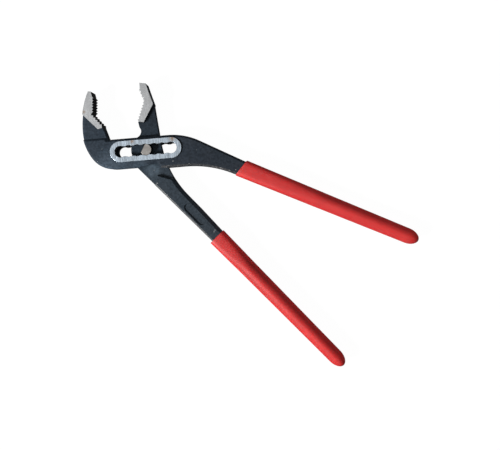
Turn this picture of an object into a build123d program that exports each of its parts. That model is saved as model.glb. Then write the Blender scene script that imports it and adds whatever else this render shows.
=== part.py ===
from build123d import *

import os
from math import acos, asin, atan2, cos, degrees, hypot, radians, sin, sqrt

# Box-joint water-pump pliers, lying flat at rest: the jaws part way open and the pin in the
# middle notch. Millimetres. +Z is up. The origin is on the pivot axis, in the plane that the
# lower ground rim rests on. +X runs along the slot towards the handles, +Y towards the jaws.

# ---- Joint box -----------------------------------------------------------------------------
box_height = 15.0  # over the two ground rims
rim_proud = 0.7  # ground rim above the painted cheek
notch_count = 7  # pin positions
notch_pitch = 6.0
pin_radius = 4.0
pin_clearance = 0.05  # pin in the web's bore, radial
pin_flat_angle = 150.0  # direction that the half moon's flat faces, from the slot
pin_flat_offset = 2.2  # of the flat from the pin's axis
pin_recess = 0.3  # of the pin's ends below the rims
notch_clearance = 0.1  # pin in a notch, radial
slot_gap = 7.1  # between opposite cusps
rim_width = 3.5  # from a notch's bottom to the rim's outer edge
box_top = 9.2  # upper edge of the cheeks, from the pivot axis
box_bottom = -12.0  # lower edge of the cheeks
web_thickness = 6.0  # inner handle, where it passes through the box
web_clearance = 0.15  # between web and cheek, each side
wall_clearance = 0.7  # between the web's edge and the box's end walls, over the whole travel

# ---- Travel --------------------------------------------------------------------------------
opening_angle = -50.0  # inner handle about the pin, jaws fully open
closing_angle = 19.0

# ---- Outer handle: hook jaw, box and arm, one forging --------------------------------------
hook_thickness = 10.0
pad_proud = 0.5  # ground jaw pad above the paint
jaw_step_y = 10.6  # where the thick box steps down to the hook
hook_tip = (-38.1, 44.9)
hook_nose = (-35.9, 44.6)
hook_back = (-44.6, 16.4)  # where the hook's back runs parallel to Y
hook_back_bulge = 1.7  # of the back's arc, off its chord
back_radius = 36.0  # round the outside of the box, above the heel
back_turn = 34.3  # degrees of that arc
hook_teeth_top = (-34.3, 40.9)
hook_teeth_end = (-35.45, 29.1)
hook_lower_top = (-36.3, 28.5)
hook_lower_end = (-29.3, 19.7)
hook_root_top = (-29.4, 16.9)
hook_root_bend = (-28.3, 13.2)
hook_root_x = -27.2
hook_back_side_x = -37.4  # the hook's forged back is left of this, its teeth right of it
hook_pad_back = (-43.4, 28.9)
hook_pad_heel = (-33.2, 17.4)
hook_pad_end = (-29.7, 18.3)
tooth_pitch = 2.1
tooth_depth = 1.05
relief_start_x = -6.2  # the cheeks' lower edge rises here to clear the inner handle
relief_rise_x = 5.5  # end of that slope
relief_end_x = 7.5
relief_y = -10.2
arm_start_x = 9.4
arm_bottom = -13.8
arm_top_bend_x = 16.4
arm_top_radius = 45.0
arm_top_dip = (67.7, 5.4)  # along and across the arm: its upper edge bends here
arm_bottom_bend_x = 26.0
arm_bottom_radius = 76.0
arm_thin_start = 19.0  # along the arm: it thins from here to the grip
arm_thickness = 9.6  # at the grip
arm_angle = -26.92  # of the outer grip, from the slot
arm_offset = 13.66  # of the grip's centre line from the pivot axis

# ---- Inner handle: through jaw, web and bar, one forging -----------------------------------
jaw_thickness = 11.0
jaw_tip = (-0.95, 48.0)
jaw_nose = (3.35, 47.3)
jaw_shoulder = (5.65, 38.65)
jaw_back = (7.5, 32.2)
jaw_foot = (-0.3, 19.6)
jaw_heel = (-4.7, 20.9)
jaw_upper_top = (-2.0, 43.6)
jaw_vee = (0.9, 34.8)
throat_top = (-4.0, 16.8)
throat_lip = (-3.0, 14.6)
throat_deepest = (-3.2, 12.9)
boss_radius = 11.3
boss_start = 121.0  # degrees about the pivot axis
boss_end = 195.0
jaw_back_angle = -85.0  # of the web's back edge, from the slot
neck_radius = 72.0  # where that edge bends into the bar's
heel_along = 4.2  # heel corner of the web, along the bar
bar_thickness = 11.0
bar_angle = -50.1  # of the bar and grip, from the slot
bar_offset = -7.57  # of the bar's centre line from the pivot axis
tang_offset = -8.15  # of its tang's and grip's
bar_back = 5.45  # from that line to the edge that faces the outer handle
bar_front = 6.2  # at the heel, narrowing evenly to the mouth
bar_narrow_start = 57.0  # along the bar, from the foot of the pivot axis
bar_thin_start = 66.0
bar_corner = (16.7, 0.7)  # foot of the raised bar's end wall: along and across the bar
bar_corner_left = -58.0  # degrees from the bar's direction to each arm of that wall
bar_corner_right = 29.6
panel_centre = 57.2
panel_length = 19.5
panel_width = 6.2
panel_depth = 0.8

# ---- Grips: dipped PVC sleeves over the forged tangs ----------------------------------------
outer_dip = 67.5  # along the outer handle's centre line, where its sleeve starts
outer_dip_slant = -16.0  # degrees that the sleeve's mouth is off square
outer_end = 205.6
inner_dip = 79.5
inner_dip_slant = 0.0
inner_end = 209.9
inner_dip_back = 5.0  # from the bar's centre line to the edges of the tang at the mouth
inner_dip_front = 4.9
tang_end_width = 7.2
tang_end_thickness = 7.0
outer_start_width = 13.4
outer_end_width = 11.2
inner_start_width = 13.1
inner_end_width = 10.9
sleeve_start_height = 12.4
sleeve_end_height = 10.8
sleeve_end_wall = 6.5  # from the tang's end to the rounded tip
sleeve_roundness = 0.82  # corner radius as a share of half the section
sleeve_tip_length = 9.0  # the rounded end
tip_steps = 5
tip_last_turn = 80.0  # degrees round the end's profile where its small flat begins
mouth_round = 0.5

# ---- Edges ---------------------------------------------------------------------------------
forged_bevel = 1.5
bar_back_bevel = 2.0
bar_front_bevel = 1.3
end_wall_lean = 17.0  # degrees, of the wall that ends the raised bar
ground_bevel = 0.2
wall_rise = 0.3  # a face whose normal climbs less than this is a side wall
lid_rise = 0.9  # and one that climbs more is a top or bottom

# ---- Worked out ----------------------------------------------------------------------------
mid_z = box_height / 2
cheek_height = box_height - 2 * rim_proud
notch_radius = pin_radius + notch_clearance
rim_radius = notch_radius + rim_width
slot_travel = (notch_count - 1) * notch_pitch / 2
cavity_height = web_thickness + 2 * web_clearance
half_tang = tang_end_width / 2
overlap = 1.5  # of two regions that are joined into one forging
beyond = 300.0  # past any face that a cutting shape has to clear


# ---- Plane geometry ------------------------------------------------------------------------
def on_line(angle, offset, along, across):
    """A point on a handle: along its centre line and across it, from the pivot axis."""
    a = radians(angle)
    n = offset + across
    return (along * cos(a) - n * sin(a), along * sin(a) + n * cos(a))


def on_arm(along, across):
    return on_line(arm_angle, arm_offset, along, across)


def on_bar(along, across):
    return on_line(bar_angle, bar_offset, along, across)


def across_bar(x, y):
    """How far a point is from the bar's centre line, towards the outer handle."""
    a = radians(bar_angle)
    return y * cos(a) - x * sin(a) - bar_offset


def polar(radius, angle, centre=(0.0, 0.0)):
    a = radians(angle)
    return (centre[0] + radius * cos(a), centre[1] + radius * sin(a))


def moved(point, angle, slide):
    """Where a point of the inner handle goes when it turns on the pin and slides."""
    radius = hypot(*point)
    return polar(radius, degrees(atan2(point[1], point[0])) + angle, (slide, 0.0))


def crossing(a, b, c, d):
    """Where the line through a and b meets the line through c and d."""
    ux, uy = b[0] - a[0], b[1] - a[1]
    vx, vy = d[0] - c[0], d[1] - c[1]
    t = ((c[0] - a[0]) * vy - (c[1] - a[1]) * vx) / (ux * vy - uy * vx)
    return (a[0] + t * ux, a[1] + t * uy)


def tangent_angle(centre, radius, point):
    """Direction from the centre to where a clockwise arc leaves along a line to the point."""
    dx, dy = point[0] - centre[0], point[1] - centre[1]
    return degrees(atan2(dy, dx) + acos(radius / hypot(dx, dy)))


def toothed(start, end):
    """Points of a saw edge from start to end, cut into the side left of the way it runs."""
    run = hypot(end[0] - start[0], end[1] - start[1])
    count = max(2, round(run / tooth_pitch))
    ux, uy = (end[0] - start[0]) / run, (end[1] - start[1]) / run
    points = []
    for half in range(2 * count + 1):
        along = half * run / (2 * count)
        depth = tooth_depth if half % 2 == 0 else 0.0
        points.append((start[0] + ux * along - uy * depth, start[1] + uy * along + ux * depth))
    return points


def outline(*curves):
    return make_face([edge for curve in curves for edge in curve.edges()])


def slab(face, thickness):
    """A plate of this thickness about the tool's middle plane."""
    return extrude(Pos(0, 0, mid_z) * face, amount=thickness / 2, both=True)


def lid_edges(solid, keep=lambda x, y: True):
    """Edges between a solid's upright walls and its top and bottom, where the test holds."""
    walls = [face for face in solid.faces() if abs(face.normal_at().Z) < wall_rise]
    lids = [face for face in solid.faces() if abs(face.normal_at().Z) > lid_rise]
    wall_edges = set(edge for face in walls for edge in face.edges())
    found = [edge for face in lids for edge in face.edges() if edge in wall_edges]
    return [edge for edge in found if keep((edge @ 0.5).X, (edge @ 0.5).Y)]


def along_handle(angle, offset, heights):
    """A bar across everything, as high as heights says: pairs of distance along and height."""
    upper = [(along, mid_z + height / 2) for along, height in heights]
    lower = [(along, mid_z - height / 2) for along, height in reversed(heights)]
    foot = on_line(angle, offset, 0.0, 0.0)
    dx, dy = cos(radians(angle)), sin(radians(angle))
    upright = Plane(origin=(*foot, 0), x_dir=(dx, dy, 0), z_dir=(dy, -dx, 0))
    return extrude(upright * make_face(Polyline(*upper, *lower, close=True)), amount=beyond, both=True)


# ---- Outer handle --------------------------------------------------------------------------
def outer_plan():
    """The whole outer forging, seen from above."""
    back_middle = (
        (hook_tip[0] + hook_back[0]) / 2 - hook_back_bulge,
        (hook_tip[1] + hook_back[1]) / 2,
    )
    spine = ThreePointArc(hook_tip, back_middle, hook_back)
    back = JernArc(hook_back, (0, -1), back_radius, back_turn)
    heel_radius = ((back @ 1).Y - box_bottom) / (1 - cos(radians(90 - back_turn)))
    heel = JernArc(back @ 1, back % 1, heel_radius, 90 - back_turn)

    tang_end = outer_end - sleeve_end_wall
    tang_low = on_arm(tang_end, -half_tang)
    tang_high = on_arm(tang_end, half_tang)
    low_centre = (arm_bottom_bend_x, arm_bottom - arm_bottom_radius)
    low_turn = 90 - tangent_angle(low_centre, arm_bottom_radius, tang_low)
    low_bend = JernArc((arm_bottom_bend_x, arm_bottom), (1, 0), arm_bottom_radius, -low_turn)
    high_dip = on_arm(*arm_top_dip)
    high_centre = (arm_top_bend_x, box_top - arm_top_radius)
    high_turn = 90 - tangent_angle(high_centre, arm_top_radius, high_dip)
    high_bend = JernArc((arm_top_bend_x, box_top), (1, 0), arm_top_radius, -high_turn)

    underside = Polyline(
        heel @ 1,
        (relief_start_x, box_bottom),
        (relief_rise_x, relief_y),
        (relief_end_x, relief_y),
        (arm_start_x, arm_bottom),
        low_bend @ 0,
    )
    tang = Polyline(low_bend @ 1, tang_low, tang_high, high_dip, high_bend @ 1)
    jaw = Polyline(
        high_bend @ 0,
        (hook_root_x, box_top),
        hook_root_bend,
        hook_root_top,
        *toothed(hook_lower_end, hook_lower_top),
        *toothed(hook_teeth_end, hook_teeth_top),
        hook_nose,
        hook_tip,
    )
    return outline(spine, back, heel, underside, low_bend, tang, high_bend, jaw)


def slot_plan():
    """The scalloped slot: a round notch for each pin position, joined by a narrower gap."""
    plan = Rectangle(2 * slot_travel, slot_gap)
    for notch in range(notch_count):
        plan += Pos(notch * notch_pitch - slot_travel, 0) * Circle(notch_radius)
    return plan


def jaw_back_line():
    """The inner handle's back edge: jaw, a wide bend at the neck, then the bar."""
    along_jaw = polar(beyond, jaw_back_angle, jaw_back)
    bar_end = on_bar(bar_narrow_start, bar_back)
    corner = crossing(jaw_back, along_jaw, on_bar(0, bar_back), bar_end)
    return FilletPolyline(jaw_back, corner, bar_end, radius=neck_radius)


def cavity_plan():
    """Room between the cheeks for the web, from leftmost and closed to rightmost and open."""
    left_pin = (-slot_travel, 0.0)
    heel = on_bar(heel_along, -bar_front)
    heel_reach = hypot(*heel) + wall_clearance
    heel_open = degrees(atan2(heel[1], heel[0])) + opening_angle
    top_angle = 180 - degrees(asin(box_top / heel_reach))
    left_top = polar(heel_reach, top_angle, left_pin)
    left_low = polar(heel_reach, heel_open, left_pin)
    left_middle = polar(heel_reach, (top_angle + heel_open + 360) / 2, left_pin)
    left_foot = polar(beyond, bar_angle + opening_angle, left_low)

    neck = jaw_back_line().edges()[1]
    neck_top, neck_foot = (tuple(neck @ at)[:2] for at in (0.0, 1.0))
    open_low = moved(neck_top, opening_angle, slot_travel + wall_clearance)
    open_high = moved(jaw_back, opening_angle, slot_travel + wall_clearance)
    shut_high = moved(neck_top, closing_angle, slot_travel + wall_clearance)
    shut_low = moved(neck_foot, closing_angle, slot_travel + wall_clearance)
    nose = crossing(open_low, open_high, shut_high, shut_low)
    right_foot = crossing(shut_high, shut_low, left_foot, (beyond, left_foot[1]))
    boss_reach = boss_radius + wall_clearance
    boss_clear_x = -slot_travel - sqrt(boss_reach**2 - box_top**2)

    rest = Polyline(
        left_low,
        left_foot,
        right_foot,
        nose,
        open_high,
        (boss_clear_x, open_high[1]),
        (boss_clear_x, box_top),
        left_top,
    )
    return outline(ThreePointArc(left_top, left_middle, left_low), rest)


def outer_handle():
    plan = outer_plan()
    below_step = Pos(0, jaw_step_y - beyond) * Rectangle(2 * beyond, 2 * beyond)
    thick = slab(plan & below_step, cheek_height)
    thick &= along_handle(
        arm_angle,
        arm_offset,
        [
            (-beyond, cheek_height),
            (arm_thin_start, cheek_height),
            (outer_dip, arm_thickness),
            (outer_end, tang_end_thickness),
        ],
    )
    thick = chamfer(lid_edges(thick), forged_bevel)

    above_step = Pos(0, jaw_step_y + beyond - overlap) * Rectangle(2 * beyond, 2 * beyond)
    hook = slab(plan & above_step, hook_thickness)
    hook_back_edges = lid_edges(hook, lambda x, y: x < hook_back_side_x and y > jaw_step_y)
    hook = chamfer(hook_back_edges, forged_bevel)
    pad_corners = [
        (hook_nose[0], hook_nose[1] + beyond),
        (hook_back[0] - beyond, hook_nose[1] + beyond),
        (hook_back[0] - beyond, hook_pad_back[1]),
        hook_pad_back,
        hook_pad_heel,
        hook_pad_end,
        (hook_pad_end[0] + beyond, hook_pad_end[1] + beyond),
    ]
    pad = slab(plan & make_face(Polyline(*pad_corners, close=True)), hook_thickness + 2 * pad_proud)

    stadium = SlotCenterToCenter(2 * slot_travel, 2 * rim_radius)
    rim = slab(stadium, box_height)
    rim = chamfer(lid_edges(rim), ground_bevel)

    handle = thick + hook + pad + rim
    handle -= slab(slot_plan(), 2 * box_height)
    handle -= slab(cavity_plan(), cavity_height)
    return handle


# ---- Inner handle --------------------------------------------------------------------------
def jaw_plan():
    return make_face(
        Polyline(
            jaw_nose,
            jaw_tip,
            *toothed(jaw_upper_top, jaw_vee),
            *toothed(jaw_vee, jaw_heel)[1:],
            jaw_foot,
            jaw_back,
            jaw_shoulder,
            close=True,
        )
    )


def web_plan():
    """The inner forging below its jaw: throat, round boss, neck, bar and tang."""
    back = jaw_back_line()
    tang_end = inner_end - sleeve_end_wall
    tang = Polyline(
        back @ 1,
        on_bar(inner_dip, inner_dip_back),
        on_line(bar_angle, tang_offset, tang_end, half_tang),
        on_line(bar_angle, tang_offset, tang_end, -half_tang),
        on_bar(inner_dip, -inner_dip_front),
        on_bar(heel_along, -bar_front),
        polar(boss_radius, boss_end),
    )
    boss_middle = polar(boss_radius, (boss_start + boss_end) / 2)
    boss = ThreePointArc(tang @ 1, boss_middle, polar(boss_radius, boss_start))
    throat = ThreePointArc(boss @ 1, throat_deepest, throat_lip)
    inside_jaw = (jaw_vee[0] + overlap, jaw_vee[1])
    front = Polyline(throat @ 1, throat_top, jaw_heel, jaw_foot, inside_jaw, jaw_back)
    return outline(back, tang, boss, throat, front)


def inner_handle():
    plan = web_plan()
    left_way = polar(beyond, bar_angle + bar_corner_left)
    right_way = polar(beyond, bar_angle + bar_corner_right)
    corner = on_bar(*bar_corner)
    past_step = make_face(
        Polyline(
            corner,
            (corner[0] + left_way[0], corner[1] + left_way[1]),
            on_bar(inner_end + beyond, -beyond),
            on_bar(inner_end + beyond, beyond),
            (corner[0] + right_way[0], corner[1] + right_way[1]),
            close=True,
        )
    )
    past_neck = make_face(
        Polyline(
            on_bar(bar_corner[0] - overlap, -beyond),
            on_bar(inner_end + beyond, -beyond),
            on_bar(inner_end + beyond, beyond),
            on_bar(bar_corner[0] - overlap, beyond),
            close=True,
        )
    )
    bar = slab(plan & past_neck, bar_thickness)
    front_edges = lid_edges(bar, lambda x, y: across_bar(x, y) < -half_tang / 2)
    bar = chamfer(front_edges, bar_front_bevel)
    back_edges = lid_edges(bar, lambda x, y: across_bar(x, y) > half_tang / 2)
    bar = chamfer(back_edges, bar_back_bevel)
    bar &= along_handle(
        bar_angle,
        bar_offset,
        [
            (-beyond, bar_thickness),
            (bar_thin_start, bar_thickness),
            (inner_end, tang_end_thickness),
        ],
    )
    half = Pos(0, 0, mid_z) * past_step
    leaning = extrude(half, amount=bar_thickness, taper=end_wall_lean)
    leaning += extrude(half, amount=-bar_thickness, taper=end_wall_lean)
    bar &= leaning
    panel = Rot(0, 0, bar_angle) * SlotOverall(panel_length, panel_width)
    panel = Pos(*on_bar(panel_centre, 0)) * panel
    bar -= slab(panel, 2 * bar_thickness) - slab(panel, bar_thickness - 2 * panel_depth)

    handle = slab(jaw_plan(), jaw_thickness) + slab(plan, web_thickness) + bar
    bore = Circle(pin_radius + pin_clearance)
    return handle - slab(bore, 2 * web_thickness)


# ---- Pin -----------------------------------------------------------------------------------
def pivot_pin():
    """Round inside the web; each end is a half moon that passes the slot's cusps edge on."""
    past_flat = Pos(pin_flat_offset + beyond / 2, 0) * Rectangle(beyond, beyond)
    facing = Rot(0, 0, pin_flat_angle) * past_flat
    half_moon = Circle(pin_radius) - facing
    return slab(Circle(pin_radius), web_thickness) + slab(half_moon, box_height - 2 * pin_recess)


# ---- Grips ---------------------------------------------------------------------------------
def sleeve(angle, offset, start, end, widths, slant, handle):
    """A dipped sleeve: the rounded outside shape less the handle inside it."""
    start_width, end_width = widths
    tip_start = end - sleeve_tip_length

    def section(along, scale, turned=0.0):
        share = (along - start) / (end - start)
        width = start_width + share * (end_width - start_width)
        height = sleeve_start_height + share * (sleeve_end_height - sleeve_start_height)
        place = on_line(angle, offset, along, 0)
        fx, fy = polar(1.0, angle + turned)
        across = Plane(origin=(*place, mid_z), x_dir=(-fy, fx, 0), z_dir=(fx, fy, 0))
        corner = sleeve_roundness * scale * min(width, height) / 2
        return across * RectangleRounded(scale * width / cos(radians(turned)), scale * height, corner)

    sections = [
        section(start, 1 - 2 * mouth_round / start_width, slant),
        section(start + mouth_round, 1, slant),
    ]
    for step in range(tip_steps + 1):
        turn = radians(tip_last_turn * step / tip_steps)
        sections.append(section(tip_start + sleeve_tip_length * sin(turn), cos(turn)))
    return loft(sections, ruled=True) - handle


def build():
    outer = outer_handle()
    inner = inner_handle()
    outer_widths = (outer_start_width, outer_end_width)
    inner_widths = (inner_start_width, inner_end_width)
    return {
        "outer_handle": outer,
        "inner_handle": inner,
        "pivot_pin": pivot_pin(),
        "outer_grip": sleeve(
            arm_angle, arm_offset, outer_dip, outer_end, outer_widths, outer_dip_slant, outer
        ),
        "inner_grip": sleeve(
            bar_angle, tang_offset, inner_dip, inner_end, inner_widths, inner_dip_slant, inner
        ),
    }


os.makedirs("parts", exist_ok=True)
for name, solid in build().items():
    export_step(solid, f"parts/{name}.step")
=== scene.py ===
from math import copysign, cos, hypot, pi, radians, sin, tan
from typing import NamedTuple

import bmesh
import bpy
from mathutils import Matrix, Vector, noise


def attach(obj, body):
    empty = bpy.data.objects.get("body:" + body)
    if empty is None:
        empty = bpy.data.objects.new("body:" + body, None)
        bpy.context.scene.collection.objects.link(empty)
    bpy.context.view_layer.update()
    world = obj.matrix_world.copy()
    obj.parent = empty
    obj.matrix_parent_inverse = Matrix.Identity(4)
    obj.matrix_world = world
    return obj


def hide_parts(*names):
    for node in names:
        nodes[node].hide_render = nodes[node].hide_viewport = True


# Visual model of box-joint water-pump pliers, lying flat. Metres, in the CAD's frame: +X runs
# along the slot towards the handles, +Y towards the jaws, +Z is up, the pin stands on the origin.

MM = 0.001
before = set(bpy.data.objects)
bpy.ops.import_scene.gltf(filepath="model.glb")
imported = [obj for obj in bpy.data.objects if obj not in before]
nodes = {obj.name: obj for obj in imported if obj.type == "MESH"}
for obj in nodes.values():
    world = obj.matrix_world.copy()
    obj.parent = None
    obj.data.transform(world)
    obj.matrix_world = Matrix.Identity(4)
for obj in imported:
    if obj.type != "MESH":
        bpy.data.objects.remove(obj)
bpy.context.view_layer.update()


class Grip(NamedTuple):
    """One handle's sleeve, in millimetres and degrees."""

    line: tuple  # the handle's angle, and how far its line passes the pin's axis
    span: tuple  # mouth and tip, along that line from the axis's foot
    widths: tuple  # at the mouth and at the tip
    tang: tuple  # width and height of the pocket at the mouth
    slant: float  # of the mouth
    settle: float  # length over which the section turns from boxy to ridged


# ---- Sizes. Outlines and thicknesses are as the CAD part has them ---------------------------
BOX_HEIGHT = 15.0 * MM
MID_Z = BOX_HEIGHT / 2
JAW_THICKNESS = 11.0 * MM
SLOT_TRAVEL = 18.0 * MM
NOTCH_RADIUS = 4.1 * MM
WEB_BORE = 4.3 * MM  # anything upright this close to the pin's axis is the bore's wall
PIN_HALF = 7.2 * MM  # half of the pin's length
OUTER_GRIP = Grip((-26.92, 13.66), (67.5, 205.6), (13.4, 11.2), (10.6, 9.4), -16.0, 75.0)
INNER_GRIP = Grip((-50.1, -8.15), (79.5, 209.9), (13.1, 10.9), (9.8, 10.4), 0.0, 34.0)
SLEEVE_HEIGHTS = (12.4, 10.8)  # at the mouth and at the tip, millimetres
SLEEVE_TIP = 9.0  # length of the rounded tip
TANG_END = 6.5  # from the tang's end to the tip
TANG_TIP = 6.8  # width and height of the pocket at the tang's slimmed end


# ---- Node trees ----------------------------------------------------------------------------
def new_material(name):
    material = bpy.data.materials.new(name)
    material.use_nodes = True
    tree = material.node_tree
    return material, tree, tree.nodes["Principled BSDF"]


def place(tree, scale, turn=(0.0, 0.0, 0.0)):
    """Object coordinates, which are the CAD's frame at rest, turned and then scaled."""
    coordinates = tree.nodes.new("ShaderNodeTexCoord")
    mapping = tree.nodes.new("ShaderNodeMapping")
    mapping.inputs["Rotation"].default_value = [radians(t) for t in turn]
    mapping.inputs["Scale"].default_value = scale
    tree.links.new(coordinates.outputs["Object"], mapping.inputs["Vector"])
    return mapping.outputs["Vector"]


def noise_of(tree, size, detail=3.0, rough=0.55, stretch=(1.0, 1.0, 1.0), turn=(0.0, 0.0, 0.0)):
    """Noise whose blobs are about this large, in millimetres, times the stretch."""
    node = tree.nodes.new("ShaderNodeTexNoise")
    node.inputs["Scale"].default_value = 1.0
    node.inputs["Detail"].default_value = detail
    node.inputs["Roughness"].default_value = rough
    scale = [1.0 / (size * MM * s) for s in stretch]
    tree.links.new(place(tree, scale, turn), node.inputs["Vector"])
    return node.outputs["Fac"]


def ramp(tree, value, stops):
    node = tree.nodes.new("ShaderNodeValToRGB")
    while len(node.color_ramp.elements) < len(stops):
        node.color_ramp.elements.new(0.5)
    for element, (at, colour) in zip(node.color_ramp.elements, stops):
        element.position = at
        element.color = colour if len(colour) == 4 else (*colour, 1.0)
    tree.links.new(value, node.inputs["Fac"])
    return node.outputs["Color"]


def grey(x):
    return (x, x, x)


def mix(tree, a, b, share, blend="MIX"):
    node = tree.nodes.new("ShaderNodeMix")
    node.data_type = "RGBA"
    node.blend_type = blend
    for value, socket in ((share, node.inputs[0]), (a, node.inputs[6]), (b, node.inputs[7])):
        if isinstance(value, (int, float)):
            socket.default_value = value
        elif isinstance(value, tuple):
            socket.default_value = (*value, 1.0)
        else:
            tree.links.new(value, socket)
    return node.outputs[2]


def maths(tree, operation, a, b, clamp=False):
    node = tree.nodes.new("ShaderNodeMath")
    node.operation = operation
    node.use_clamp = clamp
    for value, socket in ((a, node.inputs[0]), (b, node.inputs[1])):
        if isinstance(value, (int, float)):
            socket.default_value = value
        else:
            tree.links.new(value, socket)
    return node.outputs[0]


def attribute(tree, name):
    node = tree.nodes.new("ShaderNodeAttribute")
    node.attribute_name = name
    return node.outputs["Fac"]


def bump(tree, heights):
    """Chained bump: pairs of a height socket and its depth in millimetres."""
    normal = None
    for height, depth in heights:
        node = tree.nodes.new("ShaderNodeBump")
        node.inputs["Distance"].default_value = depth * MM
        tree.links.new(height, node.inputs["Height"])
        if normal is not None:
            tree.links.new(normal, node.inputs["Normal"])
        normal = node.outputs["Normal"]
    return normal


def axis_share(tree, axis, low, high):
    """0 to 1 from low to high along an axis of the CAD's frame, in millimetres."""
    split = tree.nodes.new("ShaderNodeSeparateXYZ")
    tree.links.new(place(tree, (1.0, 1.0, 1.0)), split.inputs["Vector"])
    width = (high - low) * MM
    shifted = maths(tree, "SUBTRACT", split.outputs[axis], low * MM)
    return maths(tree, "DIVIDE", shifted, width, clamp=True)


def near(tree, spots):
    """1 at the middle of each spot, falling to 0 at its radius: (x, y, radius) in millimetres."""
    total = None
    flat = place(tree, (1.0, 1.0, 0.0))
    for x, y, radius in spots:
        node = tree.nodes.new("ShaderNodeVectorMath")
        node.operation = "DISTANCE"
        tree.links.new(flat, node.inputs[0])
        node.inputs[1].default_value = (x * MM, y * MM, 0.0)
        away = maths(tree, "DIVIDE", node.outputs["Value"], radius * MM)
        close = maths(tree, "SUBTRACT", 1.0, away, clamp=True)
        total = close if total is None else maths(tree, "MAXIMUM", total, close)
    return total


def masked(tree, value, low, high):
    """0 below low and 1 above high."""
    return ramp(tree, value, [(low, grey(0.0)), (high, grey(1.0))])


def paint_material(name, tones, wear_and_glare, painted_shade_axis, painted_shade_span, painted_shade, chipped, lit_spots):
    """Dark forging paint, mottled, with specks and with bare metal along worn edges. It is painted
    lighter and darker along an axis as painted shade, is chipped at the spots given and painted
    lighter round others as pools of painted light."""
    material, tree, shader = new_material(name)
    link = tree.links.new
    cloud = noise_of(tree, 14.0, 4.0)
    mottle = noise_of(tree, 1.6, 5.0, 0.65)
    base = ramp(tree, cloud, tones)
    # Painted shade: the colour is graded along an axis, darker where less light fell.
    base = mix(tree, base, ramp(tree, axis_share(tree, painted_shade_axis, *painted_shade_span), painted_shade), 1.0, "MULTIPLY")
    base = mix(tree, base, ramp(tree, mottle, [(0.35, grey(0.55)), (0.7, grey(1.35))]), 0.8, "MULTIPLY")
    speck = masked(tree, noise_of(tree, 0.55, 2.0, 0.5), 0.70, 0.76)
    patch = masked(tree, noise_of(tree, 9.0, 2.0), 0.50, 0.68)
    base = mix(tree, base, (0.22, 0.235, 0.25), maths(tree, "MULTIPLY", speck, patch))
    # Painted light: round the given spots the paint is up to twice as bright, as pools of light.
    painted_light = ramp(tree, near(tree, lit_spots), [(0.0, grey(1.0)), (0.6, (2.0, 2.0, 1.95))])
    base = mix(tree, base, painted_light, 1.0, "MULTIPLY")
    chips = noise_of(tree, 1.3, 4.0, 0.7)
    chip = masked(tree, chips, 0.56, 0.62)
    worn = masked(tree, noise_of(tree, 16.0, 1.0), 0.45, 0.62)
    # On the bevels that face the key, this bares metal over the whole face: wear and a painted
    # highlight.
    edge = maths(tree, "MAXIMUM", attribute(tree, "edge"), wear_and_glare)
    bare = maths(tree, "MULTIPLY", maths(tree, "MULTIPLY", chip, worn), edge, clamp=True)
    base = mix(tree, base, (0.42, 0.42, 0.42), bare)
    flaked = maths(tree, "ADD", near(tree, chipped), maths(tree, "MULTIPLY", chips, 1.6))
    flaked = masked(tree, maths(tree, "MULTIPLY", flaked, 0.5), 0.58, 0.66)
    base = mix(tree, base, (0.20, 0.205, 0.21), flaked)
    link(base, shader.inputs["Base Color"])
    link(bare, shader.inputs["Metallic"])
    shader.inputs["Specular IOR Level"].default_value = 0.1
    link(ramp(tree, mottle, [(0.3, grey(0.40)), (0.7, grey(0.56))]), shader.inputs["Roughness"])
    heights = [(cloud, 0.25), (mottle, 0.05), (noise_of(tree, 0.3, 3.0), 0.012)]
    link(bump(tree, heights), shader.inputs["Normal"])
    return material


def ground_material(name, tone, streak, rust, stained):
    """Ground bare steel: fine lines across the slot, a faint mottle, a little rust and more of
    it at the stained spots."""
    material, tree, shader = new_material(name)
    link = tree.links.new
    lines = noise_of(tree, 1.0, 4.0, 0.65, (1.0, 12.0, 8.0), (0.0, 0.0, 4.0))
    grain = noise_of(tree, 0.7, 4.0, 0.6)
    broad = noise_of(tree, 7.0, 2.0)
    base = ramp(tree, broad, [(0.3, tuple(0.92 * c for c in tone)), (0.7, tone)])
    low, high = 1.0 - streak, 1.0 + streak
    base = mix(tree, base, ramp(tree, lines, [(0.35, grey(low)), (0.65, grey(high))]), 1.0, "MULTIPLY")
    base = mix(tree, base, ramp(tree, grain, [(0.35, grey(0.86)), (0.65, grey(1.1))]), 1.0, "MULTIPLY")
    stain = masked(tree, noise_of(tree, 3.5, 5.0, 0.7), 1.0 - rust, 1.12 - rust)
    patch = maths(tree, "MULTIPLY", near(tree, stained), maths(tree, "ADD", grain, 0.35))
    stain = maths(tree, "MAXIMUM", stain, patch)
    base = mix(tree, base, (0.34, 0.22, 0.13), stain)
    link(base, shader.inputs["Base Color"])
    shader.inputs["Metallic"].default_value = 1.0
    link(ramp(tree, lines, [(0.3, grey(0.34)), (0.7, grey(0.50))]), shader.inputs["Roughness"])
    link(bump(tree, [(lines, 0.012), (grain, 0.02)]), shader.inputs["Normal"])
    return material


def shade_dark_steel_material():
    """Broached slot walls and hardened teeth: dull dark steel, made this dark as painted shade."""
    material, tree, shader = new_material("shade_dark_steel")
    link = tree.links.new
    cloud = noise_of(tree, 2.2, 4.0)
    base = ramp(tree, cloud, [(0.35, grey(0.035)), (0.7, (0.10, 0.10, 0.105))])
    worn = masked(tree, noise_of(tree, 0.8, 4.0, 0.7), 0.5, 0.62)
    base = mix(tree, base, (0.4, 0.4, 0.4), maths(tree, "MULTIPLY", worn, attribute(tree, "edge")))
    link(base, shader.inputs["Base Color"])
    shader.inputs["Metallic"].default_value = 0.85
    link(ramp(tree, cloud, [(0.3, grey(0.42)), (0.7, grey(0.6))]), shader.inputs["Roughness"])
    link(bump(tree, [(noise_of(tree, 0.4, 3.0, 0.6, (1.0, 1.0, 10.0)), 0.03)]), shader.inputs["Normal"])
    return material


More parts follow.
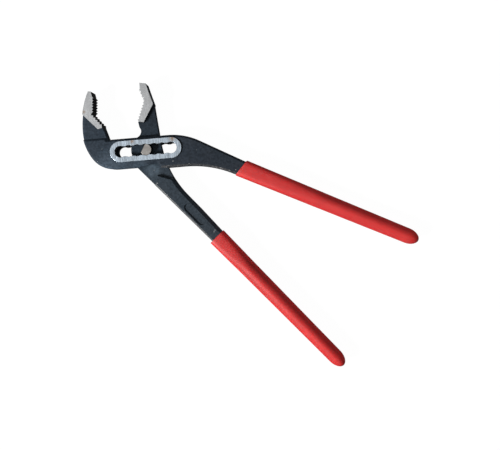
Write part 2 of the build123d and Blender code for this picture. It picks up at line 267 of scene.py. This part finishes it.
def pin_material():
    """The pin's ground end: warm steel with fine lines."""
    material, tree, shader = new_material("pin_steel")
    link = tree.links.new
    lines = noise_of(tree, 0.25, 3.0, 0.6, (1.0, 10.0, 1.0), (0.0, 0.0, 35.0))
    cloud = noise_of(tree, 3.0, 3.0)
    base = ramp(tree, cloud, [(0.3, (0.33, 0.31, 0.29)), (0.7, (0.45, 0.43, 0.41))])
    base = mix(tree, base, ramp(tree, lines, [(0.35, grey(0.88)), (0.65, grey(1.08))]), 1.0, "MULTIPLY")
    link(base, shader.inputs["Base Color"])
    shader.inputs["Metallic"].default_value = 1.0
    link(ramp(tree, lines, [(0.3, grey(0.34)), (0.7, grey(0.46))]), shader.inputs["Roughness"])
    link(bump(tree, [(lines, 0.01)]), shader.inputs["Normal"])
    return material


def grip_material():
    """Dipped PVC: deep red with a soft sheen, faintly uneven, a little scuffed."""
    material, tree, shader = new_material("dipped_pvc")
    link = tree.links.new
    cloud = noise_of(tree, 22.0, 3.0)
    fine = noise_of(tree, 0.5, 3.0, 0.6)
    base = ramp(tree, cloud, [(0.3, (0.62, 0.030, 0.030)), (0.7, (0.72, 0.040, 0.038))])
    scuff = ramp(tree, noise_of(tree, 2.4, 5.0, 0.7), [(0.62, grey(0.0)), (0.8, grey(0.25))])
    base = mix(tree, base, (0.72, 0.10, 0.09), scuff)
    link(base, shader.inputs["Base Color"])
    shader.inputs["Specular IOR Level"].default_value = 0.5
    shader.inputs["Subsurface Weight"].default_value = 0.35
    shader.inputs["Subsurface Radius"].default_value = (1.0, 0.03, 0.03)
    shader.inputs["Subsurface Scale"].default_value = 5.0 * MM
    link(ramp(tree, fine, [(0.3, grey(0.46)), (0.7, grey(0.54))]), shader.inputs["Roughness"])
    heights = [(noise_of(tree, 9.0, 1.0), 0.18), (noise_of(tree, 0.9, 2.0), 0.012), (fine, 0.004)]
    link(bump(tree, heights), shader.inputs["Normal"])
    return material


# ---- Pieces ---------------------------------------------------------------------------------
def handle_axes(line):
    """A handle's direction, the direction across it and the foot of the pin's axis on its line."""
    angle, offset = line
    turn = radians(angle)
    forward = Vector((cos(turn), sin(turn), 0.0))
    side = Vector((-sin(turn), cos(turn), 0.0))
    return forward, side, offset * side


def placed(name, bm, materials, node_name, body):
    """The object that a finished bmesh becomes, in place of its CAD node."""
    mesh = bpy.data.meshes.new(name)
    bm.to_mesh(mesh)
    bm.free()
    for material in materials:
        mesh.materials.append(material)
    piece = bpy.data.objects.new(name, mesh)
    bpy.context.scene.collection.objects.link(piece)
    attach(piece, body)
    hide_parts(node_name)
    return piece


# ---- Forgings and pin -----------------------------------------------------------------------
BEVEL_ANGLE = radians(24)  # edges sharper than this are rounded
SHADE_ANGLE = radians(35)  # edges sharper than this stay sharp in shading
FLAT = 0.995  # a face whose normal climbs more than this is a flat top or bottom
HIDDEN_TANG = 120.0 * MM  # along a handle's line: only the tang's end is past this
TANG_SLIMMING = 0.6
PAINT, RIM, PAD, DARK_SHADE, WORN_AND_LIT = range(5)  # kinds of face on a forging
NEAR = 0.03 * MM
PAINTED_EDGE = 0.45 * MM  # rounding between two painted faces
GROUND_EDGE = 0.12 * MM
PIN_EDGE = 0.15 * MM


def slimmed(point, line):
    """The tang's hidden end, drawn in towards its line so that the soft sleeve covers it."""
    forward, _, foot = handle_axes(line)
    along = (point - foot * MM).dot(forward)
    if along < HIDDEN_TANG:
        return point
    axis = foot * MM + along * forward + Vector((0.0, 0.0, MID_Z))
    return axis + TANG_SLIMMING * (point - axis)


def round_edges(bm, width_of):
    """Rounds the sharp edges, widest first, and marks the rounded faces' corners as edge."""
    edge_layer = bm.loops.layers.float.new("edge")
    groups = {}
    for edge in bm.edges:
        if len(edge.link_faces) != 2 or edge.calc_face_angle(0.0) < BEVEL_ANGLE:
            continue
        kinds = sorted(face.material_index for face in edge.link_faces)
        width = width_of(kinds, edge.calc_face_angle_signed(0.0) > 0)
        if width:
            groups.setdefault(width, []).append(edge)
    for width in sorted(groups, reverse=True):
        result = bmesh.ops.bevel(
            bm,
            geom=[edge for edge in groups[width] if edge.is_valid],
            offset=width,
            offset_type="OFFSET",
            segments=2,
            profile=0.5,
            affect="EDGES",
            clamp_overlap=True,
            material=-1,
        )
        for face in result["faces"]:
            for loop in face.loops:
                loop[edge_layer] = 1.0


def refined(node_name, name, body, materials, kind_of, width_of, line=None):
    """A CAD solid with its edges rounded. kind_of picks a face's material from its centre and
    normal, width_of an edge's rounding from the two kinds it parts. A line slims its tang."""
    bm = bmesh.new()
    bm.from_mesh(nodes[node_name].data)
    bmesh.ops.remove_doubles(bm, verts=bm.verts, dist=0.002 * MM)
    bmesh.ops.dissolve_limit(bm, angle_limit=radians(0.4), verts=bm.verts, edges=bm.edges)
    if line:
        for vert in bm.verts:
            vert.co = slimmed(vert.co, line)
    bm.normal_update()
    for face in bm.faces:
        face.material_index = kind_of(face.calc_center_median(), face.normal)
    round_edges(bm, width_of)
    bmesh.ops.triangulate(bm, faces=[face for face in bm.faces if len(face.verts) > 4])
    mesh = placed(name, bm, materials, node_name, body).data
    mesh.set_sharp_from_angle(angle=SHADE_ANGLE)
    for polygon in mesh.polygons:
        polygon.use_smooth = abs(polygon.normal.z) < FLAT


def lies_flat(normal):
    return abs(normal.z) > 0.9


def stands_up(normal):
    return abs(normal.z) < 0.3


def bevelled(normal):
    return 0.5 < abs(normal.z) < 0.85


def outer_kind(centre, normal):
    """Ground rims and hook pad, slot walls and teeth in dark steel as painted shade, and a worn
    lower bevel on the arm, painted lighter as its highlight.
    """
    up = abs(centre.z - MID_Z)
    if lies_flat(normal) and up > BOX_HEIGHT / 2 - NEAR:
        return RIM
    if lies_flat(normal) and abs(up - JAW_THICKNESS / 2) < NEAR and centre.y > 14 * MM:
        return PAD
    in_slot = abs(centre.y) < NOTCH_RADIUS + NEAR and abs(centre.x) < SLOT_TRAVEL + NOTCH_RADIUS + NEAR
    # Painted shade: the slot's walls are dark steel for the shade inside the slot.
    if in_slot and stands_up(normal):
        return DARK_SHADE
    # Painted highlight: the arm's lower bevel faces the key and is given lighter, worn paint.
    if bevelled(normal) and centre.x > 8 * MM and normal.y < -0.4:
        return WORN_AND_LIT
    # Painted shade: the hook's teeth and side wall that face away from the key are dark steel.
    if stands_up(normal) and normal.x > 0.2 and centre.y > 18 * MM and centre.x > -38.5 * MM:
        return DARK_SHADE
    return PAINT


def inner_kind(centre, normal):
    """A ground pad on the jaw, teeth and bore in dark steel as painted shade, and a worn front
    bevel on the bar, painted lighter as its highlight.
    """
    up = abs(centre.z - MID_Z)
    if lies_flat(normal) and abs(up - JAW_THICKNESS / 2) < NEAR and centre.y > 12 * MM:
        return PAD
    if hypot(centre.x, centre.y) < WEB_BORE and stands_up(normal):
        return DARK_SHADE
    # Painted shade: the jaw's toothed side is dark steel.
    if stands_up(normal) and normal.x < -0.1 and centre.y > 20 * MM and centre.x < 3 * MM:
        return DARK_SHADE
    # Painted highlight: the bar's front bevel faces the key and is given lighter, worn paint.
    if bevelled(normal) and centre.y < -15 * MM and normal.x < -0.3 and normal.y < -0.3:
        return WORN_AND_LIT
    return PAINT


def forging_width(kinds, convex):
    if not convex:
        return 0.0
    return PAINTED_EDGE if kinds in ([PAINT, PAINT], [PAINT, WORN_AND_LIT]) else GROUND_EDGE


PIN_END, PIN_SHOULDER, PIN_SIDE = range(3)


def pin_kind(centre, normal):
    """Bright half moons at the ends, painted shoulders at the web, dark sides."""
    if not lies_flat(normal):
        return PIN_SIDE
    return PIN_END if abs(centre.z - MID_Z) > PIN_HALF - NEAR else PIN_SHOULDER


def pin_width(kinds, convex):
    return PIN_EDGE if convex and PIN_END in kinds else 0.0


# ---- Grips ----------------------------------------------------------------------------------
SECTION_POINTS = 64
POCKET_FULLNESS = 5.0  # a section's fullness: 2 is an ellipse, more is boxier, less is ridged
MOUTH_FULLNESS = 3.4
BODY_FULLNESS = 1.72
TIP_SOFTENING = 0.2  # added to the fullness at the tip
INSET = 0.05  # of the visual sleeve inside the CAD's outline
DIPS = (0.05, 0.12)  # least and most that the surface dips below that, as it wavers
WAVE_LENGTH = 11.0
LIP = 0.75  # thickness of the rolled lip
LIP_LENGTH = 0.6  # along the handle
POCKET_GAP = 0.2  # beyond the tang's end
SLANT_LENGTH = 60.0  # over which the mouth's slant dies out
LIP_STEPS = 9
BODY_STEPS = 44
TIP_STEPS = 13


def between(pair, share):
    return pair[0] + share * (pair[1] - pair[0])


def soft_section(width, height, fullness):
    """Points round a section, across and up."""
    points = []
    for step in range(SECTION_POINTS):
        turn = 2 * pi * (step + 0.5) / SECTION_POINTS
        across = copysign(abs(cos(turn)) ** (2 / fullness), cos(turn)) * width / 2
        up = copysign(abs(sin(turn)) ** (2 / fullness), sin(turn)) * height / 2
        points.append((across, up))
    return points


def outside(grip, along, shrink):
    """Width and height of the sleeve there, less twice the shrink."""
    start, end = grip.span
    share = (along - start) / (end - start)
    waver = noise.noise(Vector((start + along / WAVE_LENGTH, end, 0.0)))
    less = 2 * (shrink + INSET + between(DIPS, (1 + waver) / 2))
    return between(grip.widths, share) - less, between(SLEEVE_HEIGHTS, share) - less


def ring(grip, along, width, height, fullness, slanted):
    """One section, in metres. It leans as the mouth does, times slanted."""
    forward, side, foot = handle_axes(grip.line)
    points = []
    for across, up in soft_section(width, height, fullness):
        skew = tan(radians(grip.slant)) * across * slanted
        spot = foot + (along - skew) * forward + across * side
        points.append(Vector((spot.x, spot.y, MID_Z / MM + up)) * MM)
    return points


def pocket_rings(grip):
    """The pocket round the tang, from its bottom to the mouth."""
    mouth = grip.span[0] + LIP_LENGTH
    bottom = grip.span[1] - TANG_END + POCKET_GAP
    for share in (1.0, 0.75, 0.5, 0.25, 0.08, 0.0):
        width, height = (between((size, TANG_TIP), share) for size in grip.tang)
        yield ring(grip, between((mouth, bottom), share), width, height, POCKET_FULLNESS, 1.0 - share)


def lip_rings(grip):
    """The rolled lip, half a turn from the pocket to the outside."""
    for step in range(LIP_STEPS + 1):
        turn = pi * step / LIP_STEPS
        along = grip.span[0] + LIP_LENGTH * (1 - sin(turn))
        width, height = outside(grip, along, LIP * (1 + cos(turn)) / 2)
        yield ring(grip, along, width, height, MOUTH_FULLNESS, 1.0)


def body_rings(grip):
    """The straight body, boxy at the mouth and ridged further on."""
    start, end = grip.span
    for step in range(1, BODY_STEPS + 1):
        along = between((start + LIP_LENGTH, end - SLEEVE_TIP), step / BODY_STEPS)
        width, height = outside(grip, along, 0.0)
        share = min(1.0, (along - start) / grip.settle)
        fullness = between((MOUTH_FULLNESS, BODY_FULLNESS), share * share * (3 - 2 * share))
        slanted = max(0.0, 1.0 - (along - start) / SLANT_LENGTH)
        yield ring(grip, along, width, height, fullness, slanted)


def tip_rings(grip):
    """The rounded tip, short of its last point."""
    for step in range(1, TIP_STEPS):
        turn = pi / 2 * step / TIP_STEPS
        along = grip.span[1] - SLEEVE_TIP + (SLEEVE_TIP - INSET) * sin(turn)
        width, height = outside(grip, along, 0.0)
        fullness = BODY_FULLNESS + TIP_SOFTENING * sin(turn)
        yield ring(grip, along, width * cos(turn), height * cos(turn), fullness, 0.0)


def sleeve(name, node_name, body, grip, material):
    """A dipped sleeve: one closed skin from the pocket's bottom round the lip to the tip."""
    rings = [*pocket_rings(grip), *lip_rings(grip), *body_rings(grip), *tip_rings(grip)]
    bm = bmesh.new()
    loops = [[bm.verts.new(point) for point in points] for points in rings]
    for first, second in zip(loops, loops[1:]):
        for i in range(SECTION_POINTS):
            j = (i + 1) % SECTION_POINTS
            bm.faces.new((first[i], second[i], second[j], first[j]))
    forward, _, foot = handle_axes(grip.line)
    bottom = grip.span[1] - TANG_END + POCKET_GAP
    for loop, along in ((loops[0], bottom), (loops[-1], grip.span[1] - INSET)):
        middle = foot + along * forward
        hub = bm.verts.new(Vector((middle.x, middle.y, MID_Z / MM)) * MM)
        for i in range(SECTION_POINTS):
            bm.faces.new((loop[i], loop[(i + 1) % SECTION_POINTS], hub))
    bmesh.ops.recalc_face_normals(bm, faces=bm.faces)
    mesh = placed(name, bm, [material], node_name, body).data
    mesh.polygons.foreach_set("use_smooth", [True] * len(mesh.polygons))


# ---- Camera, light and floor ----------------------------------------------------------------
CAMERA_AT = (0.08206, -0.03563, 0.410)
CAMERA_TURN = radians(-4.75)  # about the line of sight, straight down
LIGHT_DISTANCE = 1.3
LIT = Vector((0.06, -0.03, 0.0))  # what the key and the fill point at
FLOOR_AT = (0.08, -0.04, -0.02 * MM)
FLOOR_HALF = 6.0


def camera():
    data = bpy.data.cameras.new("camera")
    data.lens = 40.1
    data.sensor_width = 36.0
    data.shift_x = -0.03
    data.shift_y = -0.07
    piece = bpy.data.objects.new("camera", data)
    piece.location = CAMERA_AT
    piece.rotation_euler = (0.0, 0.0, CAMERA_TURN)
    bpy.context.scene.collection.objects.link(piece)
    bpy.context.scene.camera = piece


def area_light(name, at, aim, size, power, gloss=True):
    data = bpy.data.lights.new(name, "AREA")
    data.shape = "RECTANGLE"
    data.size, data.size_y = size
    data.energy = power
    piece = bpy.data.objects.new(name, data)
    piece.visible_glossy = gloss
    piece.location = at
    piece.rotation_euler = (aim - at).to_track_quat("-Z", "Y").to_euler()
    bpy.context.scene.collection.objects.link(piece)


def from_side(bearing, rise):
    """A light's place: its bearing in the picture, from the right, and its rise, in degrees."""
    level = radians(bearing) + CAMERA_TURN
    rise = radians(rise)
    return LIT + LIGHT_DISTANCE * Vector((cos(level) * cos(rise), sin(level) * cos(rise), sin(rise)))


def studio():
    """A small key from the left, a low fill from the right that no metal mirrors, and a soft
    overhead where the ground steel mirrors it."""
    world = bpy.data.worlds.new("studio")
    world.use_nodes = True
    background = world.node_tree.nodes["Background"]
    background.inputs["Color"].default_value = (1.0, 1.0, 1.0, 1.0)
    background.inputs["Strength"].default_value = 0.06
    bpy.context.scene.world = world
    area_light("key", from_side(208, 34), LIT, (0.26, 0.26), 23.0)
    area_light("fill", from_side(40, 8), LIT, (0.5, 0.2), 3.4, gloss=False)
    area_light("overhead", Vector((-0.22, 0.18, 1.3)), Vector((0.0, 0.0, 0.0)), (0.9, 0.9), 2.1)


def floor():
    """A white floor that takes a faint shadow and throws no light back."""
    mesh = bpy.data.meshes.new("floor")
    bm = bmesh.new()
    bmesh.ops.create_grid(bm, x_segments=4, y_segments=4, size=FLOOR_HALF)
    bm.to_mesh(mesh)
    bm.free()
    piece = bpy.data.objects.new("floor", mesh)
    piece.location = FLOOR_AT
    bpy.context.scene.collection.objects.link(piece)
    material, tree, shader = new_material("floor_white")
    shader.inputs["Base Color"].default_value = (0.05, 0.05, 0.05, 1.0)
    shader.inputs["Roughness"].default_value = 0.9
    shader.inputs["Specular IOR Level"].default_value = 0.0
    shader.inputs["Emission Color"].default_value = (1.0, 1.0, 1.0, 1.0)
    shader.inputs["Emission Strength"].default_value = 0.98
    mesh.materials.append(material)
    piece.visible_diffuse = False
    piece.visible_glossy = False


bpy.context.scene.view_settings.view_transform = "Standard"
camera()
studio()
floor()

# ---- Colours. Spots are (x, y, radius) in millimetres ---------------------------------------
PAINT_TONES = [(0.3, (0.026, 0.038, 0.052)), (0.7, (0.036, 0.047, 0.061))]
# Lighter tones for the worn bevels that face the key: wear and a painted highlight.
ARM_BEVEL_LIT_TONES = [(0.3, (0.030, 0.036, 0.043)), (0.7, (0.075, 0.08, 0.085))]
BAR_BEVEL_LIT_TONES = [(0.3, (0.075, 0.085, 0.095)), (0.7, (0.12, 0.128, 0.135))]
# Painted shade: the outer handle's paint is lighter at the box and hook and darker along the arm; the
# inner handle's is lighter at the bar and darker at the jaw.
OUTER_PAINTED_SHADE = [(0.0, (1.02, 1.05, 1.08)), (0.35, (0.98, 0.98, 1.0)), (1.0, (0.92, 0.85, 0.84))]
INNER_PAINTED_SHADE = [
    (0.0, (1.35, 1.24, 1.16)),
    (0.45, (1.15, 1.15, 1.12)),
    (0.62, (0.80, 0.90, 0.95)),
    (1.0, (0.52, 0.5, 0.5)),
]
OUTER_CHIPS = [(18.6, -9.7, 0.7), (62.5, -19.5, 0.6), (36.0, -3.0, 0.4), (-31.0, 3.0, 0.4)]
INNER_CHIPS = [
    (5.9, -24.6, 1.0),
    (16.2, -22.0, 0.5),
    (43.4, -62.2, 0.9),
    (44.2, -61.2, 0.7),
    (4.0, -15.0, 0.5),
]
# Spots of painted light: the box's lower cheek and the web below the joint.
OUTER_LIT_SPOTS = [(-24.0, -11.5, 17.0), (-6.0, -12.5, 9.0)]
INNER_LIT_SPOTS = [(3.0, -15.0, 7.0)]
RIM_STAINS = [(19.4, 6.6, 3.2), (-9.0, 6.5, 2.0)]
PAD_STAINS = [(-42.0, 30.5, 1.5)]
# Each coat: the axis and span of the painted shade, its ramp, the chip spots and the spots of painted
# light.
OUTER_COAT_AND_LIGHT = ("X", (-45.0, 45.0), OUTER_PAINTED_SHADE, OUTER_CHIPS, OUTER_LIT_SPOTS)
INNER_COAT_AND_LIGHT = ("Y", (-60.0, 35.0), INNER_PAINTED_SHADE, INNER_CHIPS, INNER_LIT_SPOTS)

outer_paint_shaded = paint_material("outer_paint_shaded", PAINT_TONES, 0.0, *OUTER_COAT_AND_LIGHT)
outer_worn_and_lit = paint_material("outer_worn_and_lit_paint", ARM_BEVEL_LIT_TONES, 0.7, *OUTER_COAT_AND_LIGHT)
inner_paint_shaded = paint_material("inner_paint_shaded", PAINT_TONES, 0.0, *INNER_COAT_AND_LIGHT)
inner_worn_and_lit = paint_material("inner_worn_and_lit_paint", BAR_BEVEL_LIT_TONES, 0.5, *INNER_COAT_AND_LIGHT)
rim_steel = ground_material("rim_steel", (0.52, 0.60, 0.68), 0.34, 0.30, RIM_STAINS)
pad_steel = ground_material("pad_steel", (0.60, 0.61, 0.62), 0.07, 0.26, PAD_STAINS)
shade_dark_steel = shade_dark_steel_material()
pin_steel = pin_material()
pvc = grip_material()

# ---- The five pieces ------------------------------------------------------------------------
# Materials are in the order of the kinds of face.
refined(
    "outer_handle",
    "outer_forging",
    "outer",
    [outer_paint_shaded, rim_steel, pad_steel, shade_dark_steel, outer_worn_and_lit],
    outer_kind,
    forging_width,
    OUTER_GRIP.line,
)
refined(
    "inner_handle",
    "inner_forging",
    "inner",
    [inner_paint_shaded, rim_steel, pad_steel, shade_dark_steel, inner_worn_and_lit],
    inner_kind,
    forging_width,
    INNER_GRIP.line,
)
# The pin turns with the inner handle, as the half moons of such pliers do.
refined(
    "pivot_pin",
    "half_moon_pin",
    "inner",
    [pin_steel, inner_paint_shaded, shade_dark_steel],
    pin_kind,
    pin_width,
)
sleeve("outer_sleeve", "outer_grip", "outer", OUTER_GRIP, pvc)
sleeve("inner_sleeve", "inner_grip", "inner", INNER_GRIP, pvc)
